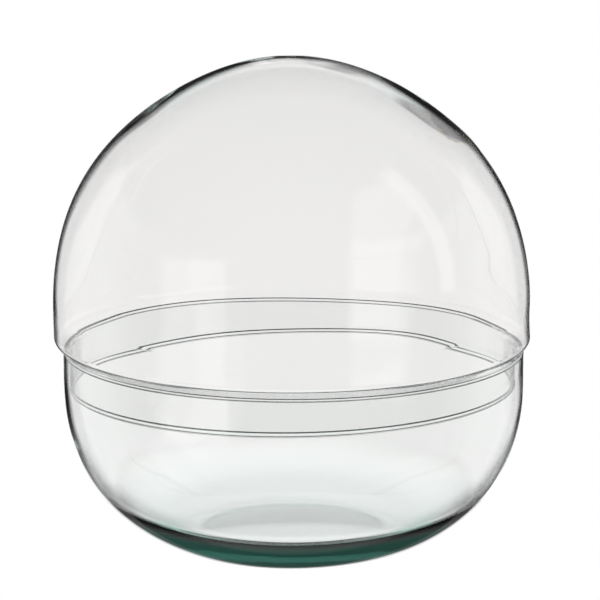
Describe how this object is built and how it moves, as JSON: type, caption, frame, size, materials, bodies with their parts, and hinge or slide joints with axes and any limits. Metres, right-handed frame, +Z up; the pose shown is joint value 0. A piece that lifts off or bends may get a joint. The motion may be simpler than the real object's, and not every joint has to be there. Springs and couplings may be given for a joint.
{
  "type": "glass cloche",
  "caption": "Clear blown-glass globe cloche: a dome cover whose collar drops inside a round-bottomed bowl and whose shoulder rests on the bowl's rim.",
  "frame": {"origin": "centre of the bowl's foot, on the surface the cloche stands on", "axes": "+Z up along the axis of both glasses and the way the cover lifts; X and Y are free, since both glasses are turned about Z"},
  "size_m": [0.38, 0.38, 0.392],
  "materials": {
    "cover_glass": "clear blown recycled glass, gloss, very faint green",
    "bowl_glass": "clear blown recycled glass, gloss, green where the foot is thick"
  },
  "bodies": {
    "bowl": {"bowl": "bowl_glass"},
    "cover": {"dome_cover": "cover_glass"}
  },
  "joints": [
    {"name": "cover_lift", "type": "slide", "parent": "bowl", "child": "cover", "axis": [0, 0, 1], "range_m": [0, 0.2]}
  ]
}
